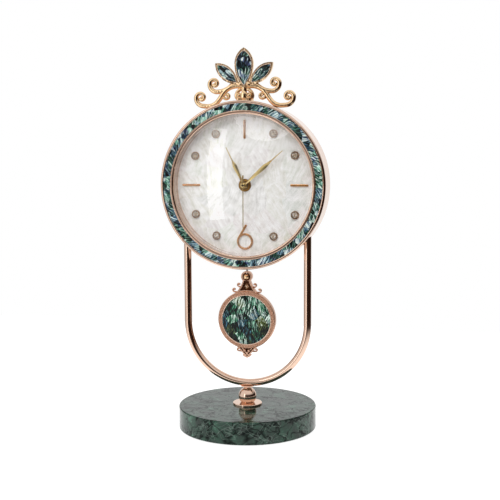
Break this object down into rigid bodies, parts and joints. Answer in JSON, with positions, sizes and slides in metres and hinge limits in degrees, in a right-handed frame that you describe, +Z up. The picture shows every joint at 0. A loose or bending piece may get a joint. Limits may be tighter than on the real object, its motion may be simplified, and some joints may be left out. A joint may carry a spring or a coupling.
{
  "type": "desk pendulum clock",
  "caption": "Free-standing desk clock: round inlaid dial case with a scroll crest on a bent-bar stand, a swinging pendulum below the dial, and a round stone base.",
  "frame": {"origin": "middle of the base's underside, on the surface that the clock stands on", "axes": "+Z up, -Y out of the dial towards the viewer, +X to the viewer's right"},
  "size_m": [0.178, 0.15, 0.4092],
  "materials": {
    "base_felt": "matt non-slip foam",
    "green_marble": "polished, white veins",
    "rose_gold_plate": "polished rose gold plating",
    "cast_gold": "polished warm gold plating on a casting",
    "bob_gold": "satin rose gold plating",
    "bead_gold": "polished gold",
    "hand_gold": "polished antique gold",
    "pewter_cup": "polished pewter grey",
    "shell_veneer": "shell slices under clear lacquer",
    "bob_veneer": "shell slices under clear lacquer",
    "leaf_veneer": "shell slices under clear lacquer",
    "pearl_veneer": "pale pearl veneer, satin",
    "crystal_stone": "faceted and polished",
    "clear_glass": "clear polished",
    "clear_seal": "soft translucent",
    "black_steel": "matt black",
    "black_plastic": "moulded, fine texture",
    "gear_plastic": "moulded, smooth",
    "zinc_steel": "bright zinc plating",
    "silicon_steel": "stamped sheet",
    "copper_wire": "enamelled winding",
    "board_green": "solder mask",
    "battery_jacket": "plain printed jacket",
    "magnet_ferrite": "ground"
  },
  "bodies": {
    "stand": {"base_pad": "base_felt", "marble_base": "green_marble", "stem_stud": "zinc_steel", "stem_nut": "zinc_steel", "stem_washer": "zinc_steel", "stem_flange": "rose_gold_plate", "stem_ball": "rose_gold_plate", "stem_collar": "rose_gold_plate", "u_frame": "rose_gold_plate", "leg_clamps": "black_plastic", "clamp_screws": "zinc_steel", "case_drum": "rose_gold_plate", "bezel_ring": "rose_gold_plate", "bezel_inlay": "shell_veneer", "lens": "clear_glass", "lens_gasket": "clear_seal", "inner_wall_ring": "rose_gold_plate", "carrier_plate": "black_steel", "back_cover": "rose_gold_plate", "cover_screws": "zinc_steel", "dial": "pearl_veneer", "hour_bars": "hand_gold", "stone_cups": "pewter_cup", "hour_stones": "crystal_stone", "numeral_six": "hand_gold", "centre_washer": "hand_gold", "centre_nut": "hand_gold", "movement_body": "black_plastic", "movement_cover": "black_plastic", "stator": "silicon_steel", "stepper_coil": "copper_wire", "circuit_board": "board_green", "battery": "battery_jacket", "battery_contacts": "zinc_steel", "pivot_pin": "zinc_steel", "drive_coil": "copper_wire", "crest_casting": "cast_gold", "leaf_inlays": "leaf_veneer", "crest_screws": "zinc_steel"},
    "pendulum": {"swing_arm": "black_plastic", "arm_magnet": "magnet_ferrite", "pendulum_rod": "zinc_steel", "pendulum_hanger": "bob_gold", "hanger_bead": "bead_gold", "hanger_jewel": "bead_gold", "bob_ring": "bob_gold", "bob_inlay": "bob_veneer", "bob_drop_ornament": "bob_gold"},
    "minute_work": {"minute_hand": "hand_gold", "cannon_pinion": "gear_plastic"},
    "hour_work": {"hour_hand": "hand_gold", "hour_wheel": "gear_plastic"},
    "second_work": {"second_hand": "hand_gold", "second_wheel": "gear_plastic"},
    "motion_work": {"motion_wheel": "gear_plastic"},
    "setting_work": {"setting_knob": "gear_plastic"},
    "third_work": {"third_wheel": "gear_plastic"},
    "centre_work": {"centre_wheel": "gear_plastic"},
    "intermediate_work": {"intermediate_wheel": "gear_plastic"},
    "rotor_work": {"stepper_rotor": "magnet_ferrite"}
  },
  "joints": [
    {"name": "pendulum_swing", "type": "hinge", "parent": "stand", "child": "pendulum", "pos_m": [0, 0, 0.23], "axis": [0, 1, 0], "range_deg": [-10, 10]},
    {"name": "minute_hand_turn", "type": "hinge", "parent": "stand", "child": "minute_work", "pos_m": [0, 0, 0.265], "axis": [0, 1, 0], "continuous": true},
    {"name": "hour_hand_turn", "type": "hinge", "parent": "stand", "child": "hour_work", "pos_m": [0, 0, 0.265], "axis": [0, 1, 0], "continuous": true},
    {"name": "motion_wheel_turn", "type": "hinge", "parent": "stand", "child": "motion_work", "pos_m": [0.01, 0, 0.265], "axis": [0, 1, 0], "continuous": true},
    {"name": "setting_knob_turn", "type": "hinge", "parent": "stand", "child": "setting_work", "pos_m": [0.02, 0, 0.265], "axis": [0, 1, 0], "continuous": true},
    {"name": "second_hand_turn", "type": "hinge", "parent": "stand", "child": "second_work", "pos_m": [0, 0, 0.265], "axis": [0, 1, 0], "continuous": true},
    {"name": "third_wheel_turn", "type": "hinge", "parent": "stand", "child": "third_work", "pos_m": [0.0054, 0, 0.27436], "axis": [0, 1, 0], "continuous": true},
    {"name": "centre_wheel_turn", "type": "hinge", "parent": "stand", "child": "centre_work", "pos_m": [0, 0, 0.265], "axis": [0, 1, 0], "continuous": true},
    {"name": "intermediate_wheel_turn", "type": "hinge", "parent": "stand", "child": "intermediate_work", "pos_m": [-0.00909, 0, 0.27025], "axis": [0, 1, 0], "continuous": true},
    {"name": "rotor_turn", "type": "hinge", "parent": "stand", "child": "rotor_work", "pos_m": [-0.01784, 0, 0.2753], "axis": [0, 1, 0], "continuous": true}
  ],
  "couplings": [
    {"joint": "hour_hand_turn", "follows": "minute_hand_turn", "ratio": 0.083333},
    {"joint": "motion_wheel_turn", "follows": "minute_hand_turn", "ratio": -0.33333},
    {"joint": "setting_knob_turn", "follows": "minute_hand_turn", "ratio": 1},
    {"joint": "third_wheel_turn", "follows": "second_hand_turn", "ratio": -0.13333},
    {"joint": "centre_wheel_turn", "follows": "second_hand_turn", "ratio": 0.016667},
    {"joint": "intermediate_wheel_turn", "follows": "second_hand_turn", "ratio": -6},
    {"joint": "rotor_turn", "follows": "second_hand_turn", "ratio": 30}
  ]
}
